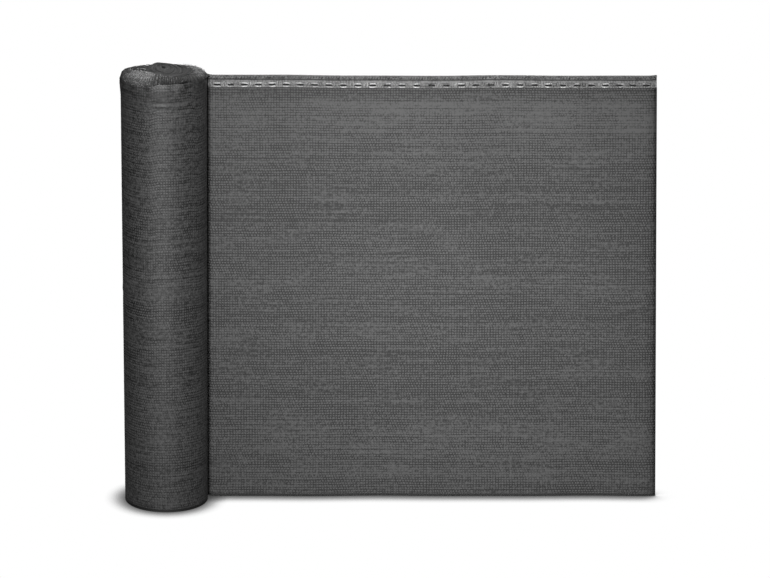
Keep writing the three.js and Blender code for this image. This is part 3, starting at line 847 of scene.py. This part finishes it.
def yarn_material(name, dark, light, broad=0.0):
    """Plastic tape yarn, a little uneven in tone; broad adds slower changes along the cloth."""
    material = bpy.data.materials.new(name)
    material.use_nodes = True
    tree = material.node_tree
    shader = tree.nodes["Principled BSDF"]
    shader.inputs["Roughness"].default_value = 0.6
    place = add_node(tree, "ShaderNodeTexCoord").outputs["Object"]
    uneven = add_node(tree, "ShaderNodeTexNoise", Vector=place, Scale=420.0, Detail=3.0)
    slow = add_node(tree, "ShaderNodeTexNoise", Vector=place, Scale=38.0, Detail=1.0)
    shade = maths(tree, "MULTIPLY_ADD", uneven.outputs["Fac"], 2.4, -0.7 - broad / 2)
    shade = maths(tree, "ADD", shade, maths(tree, "MULTIPLY", slow.outputs["Fac"], broad))
    feed(tree, shader.inputs["Base Color"], blend(tree, shade, grey(dark), grey(light)))
    bump = add_node(tree, "ShaderNodeBump", Strength=0.4, Distance=0.0004,
                    Height=uneven.outputs["Fac"])
    feed(tree, shader.inputs["Normal"], bump.outputs[0])
    return material


tree, given, close = growing_tree("yarn_on_path", {"Radius": 0.0008, "Sides": 6})
path = add_node(tree, "GeometryNodeMeshToCurve", Mesh=given["Geometry"]).outputs[0]
profile = add_node(tree, "GeometryNodeCurvePrimitiveCircle", Resolution=given["Sides"],
                   Radius=given["Radius"]).outputs[0]
close(add_node(tree, "GeometryNodeCurveToMesh", Curve=path, Profile_Curve=profile).outputs[0])
yarn_on_path = tree

FRONT = -(STRIP_THICKNESS / 2 + 0.0004)
random = np.random.default_rng(5)
stroke = np.linspace(-1, 1, 12)
strokes = []
for middle in hole_centres:
    for side in (RIM["above"], -RIM["below"]):
        for row in (0, 1):
            half = RIM["half_length"] * random.uniform(0.75, 1.1)
            x = middle + random.normal(0, 0.0008) + half * stroke
            height = (HOLE_HEIGHT + side * (1 - 0.28 * np.abs(stroke) ** 3)
                      + math.copysign(0.0013 * row, side) + random.normal(0, 0.0004) * stroke)
            strokes.append(cloth_points(np.minimum(x, FREE_END - END_GAP), height,
                                        FRONT - 0.0002 * np.cos(4 * stroke)))
pale_yarn = yarn_material("pale_yarn", dark=0.06, light=0.95, broad=2.4)
grow("slit_rims", line_mesh("slit_rims", strokes), yarn_on_path, pale_yarn, "band",
     Radius=RIM["radius"], Sides=6)

gaps = np.concatenate([[hole_centres[0] - 0.031], hole_centres])
gaps = 0.5 * (gaps + np.append(hole_centres, FREE_END + 0.004))
wisps = []
for middle in gaps:
    for k in range(WISPS["each"]):
        x = middle + (k - (WISPS["each"] - 1) / 2) * WISPS["pitch"] + random.normal(0, 0.0004)
        bend = random.normal(0, 0.0012)
        rise = np.linspace(-0.5, 0.5, 6)
        tall = WISPS["height"] * random.uniform(0.7, 1.15)
        across = np.minimum(x + bend * np.cos(np.pi * rise) + random.normal(0, 0.0015) * rise,
                            FREE_END - END_GAP)
        wisps.append(cloth_points(across, HOLE_HEIGHT + 0.0012 + tall * rise,
                                  FRONT - 0.0003 * np.cos(np.pi * rise)))
wisp_yarn = yarn_material("wisp_yarn", dark=0.04, light=0.8, broad=2.0)
grow("strip_wisps", line_mesh("strip_wisps", wisps), yarn_on_path, wisp_yarn, "band",
     Radius=WISPS["radius"], Sides=4)

# Chain stitches
# Chains of dark yarn lock the knit: one along the upper selvedge, one at the foot of the strip and
# one along the lower edge of the net.
tree, given, close = growing_tree(
    "chain_on_path", {"Link length": 0.005, "Link width": 0.0024, "Yarn radius": 0.0005})
path = add_node(tree, "GeometryNodeMeshToCurve", Mesh=given["Geometry"]).outputs[0]
links = add_node(tree, "GeometryNodeResampleCurve", {"mode": "LENGTH"}, Curve=path)
feed(tree, links.inputs["Length"], maths(tree, "MULTIPLY", given["Link length"], 0.8))
along_path = add_node(tree, "GeometryNodeInputTangent").outputs[0]
turned_to = add_node(tree, "FunctionNodeAlignEulerToVector", {"axis": "X"}, Vector=along_path)
ring = add_node(tree, "GeometryNodeCurvePrimitiveCircle", Resolution=10, Radius=0.5).outputs[0]
stretch = add_node(tree, "ShaderNodeCombineXYZ", X=given["Link length"], Y=0.0001,
                   Z=given["Link width"])
upright = add_node(tree, "GeometryNodeTransform", Geometry=ring, Rotation=(math.pi / 2, 0, 0))
shaped = add_node(tree, "GeometryNodeTransform", Geometry=upright.outputs[0],
                  Scale=stretch.outputs[0])
thread = add_node(tree, "GeometryNodeCurvePrimitiveCircle", Resolution=4,
                  Radius=given["Yarn radius"]).outputs[0]
link = add_node(tree, "GeometryNodeCurveToMesh", Curve=shaped.outputs[0], Profile_Curve=thread)
placed = add_node(tree, "GeometryNodeInstanceOnPoints", Points=links.outputs[0],
                  Instance=link.outputs[0], Rotation=turned_to.outputs[0])
close(placed.outputs[0])
chain_on_path = tree


def chain_path(name, height, out):
    steps = np.linspace(net_start + 0.002, FREE_END - 0.003, 500)
    return line_mesh(name, [cloth_points(steps, 0 * steps + height, out)])


dark_yarn = yarn_material("dark_yarn", dark=0.008, light=0.36)
grow("selvedge_chain", chain_path("selvedge_chain", 0.9978, FRONT - 0.0003), chain_on_path,
     dark_yarn, "band", Link_length=0.0062, Link_width=0.0030, Yarn_radius=0.0006)
seam_yarn = yarn_material("seam_yarn", dark=0.02, light=0.09)
grow("strip_seam", chain_path("strip_seam", STRIP_FOOT - 0.0011, FRONT + 0.0002), chain_on_path,
     seam_yarn, "band", Link_length=0.0052, Link_width=0.0016, Yarn_radius=0.0005)
grow("lower_selvedge", chain_path("lower_selvedge", 0.0022, -NET_THICKNESS / 2 - 0.0002),
     chain_on_path, seam_yarn, "net", Link_length=0.006, Link_width=0.0022, Yarn_radius=0.0005)

# Loops of loose yarn
# Where the folded edge is pulled about, ends and loops of pale yarn stand up from it, most at the
# front left and where the net leaves the roll.
tree, given, close = growing_tree(
    "loose_loops", {"Density": 1000.0, "Size": 0.004, "Yarn radius": 0.0003, "Seed": 4})
spots = add_node(tree, "GeometryNodeDistributePointsOnFaces", Mesh=given["Geometry"],
                 Seed=given["Seed"])
share = add_node(tree, "GeometryNodeInputNamedAttribute", {"data_type": "FLOAT"}, Name="pale")
feed(tree, spots.inputs["Density"], maths(
    tree, "MULTIPLY", maths(tree, "POWER", share.outputs["Attribute"], 1.6), given["Density"]))
arc = add_node(tree, "GeometryNodeCurveQuadraticBezier", Resolution=7, Start=(-0.5, 0, -0.1),
               Middle=(0.1, 0.25, 1.0), End=(0.5, 0, -0.1)).outputs[0]
slim = add_node(tree, "GeometryNodeCurvePrimitiveCircle", Resolution=3,
                Radius=maths(tree, "DIVIDE", given["Yarn radius"], given["Size"])).outputs[0]
loop = add_node(tree, "GeometryNodeCurveToMesh", Curve=arc, Profile_Curve=slim).outputs[0]
spin = add_node(tree, "FunctionNodeRandomValue", {"data_type": "FLOAT_VECTOR"},
                Min=(-0.7, -0.7, -3.1), Max=(0.7, 0.7, 3.1), Seed=given["Seed"])
turned_to = add_node(tree, "FunctionNodeRotateRotation", {"rotation_space": "LOCAL"},
                     Rotation=spots.outputs["Rotation"], Rotate_By=spin.outputs["Value"])
scaled = add_node(tree, "FunctionNodeRandomValue", {"data_type": "FLOAT"}, Seed=given["Seed"])
feed(tree, scaled.inputs[2], maths(tree, "MULTIPLY", given["Size"], 0.5))
feed(tree, scaled.inputs[3], maths(tree, "MULTIPLY", given["Size"], 1.3))
placed = add_node(tree, "GeometryNodeInstanceOnPoints", Points=spots.outputs["Points"],
                  Instance=loop, Rotation=turned_to.outputs[0], Scale=scaled.outputs[1])
close(placed.outputs[0])
loop_yarn = yarn_material("loop_yarn", dark=0.08, light=0.6)
grow("edge_loops", folded_edge.data.copy(), tree, loop_yarn, "band", Density=90000.0, Size=0.0045,
     Yarn_radius=0.0003, Seed=4)
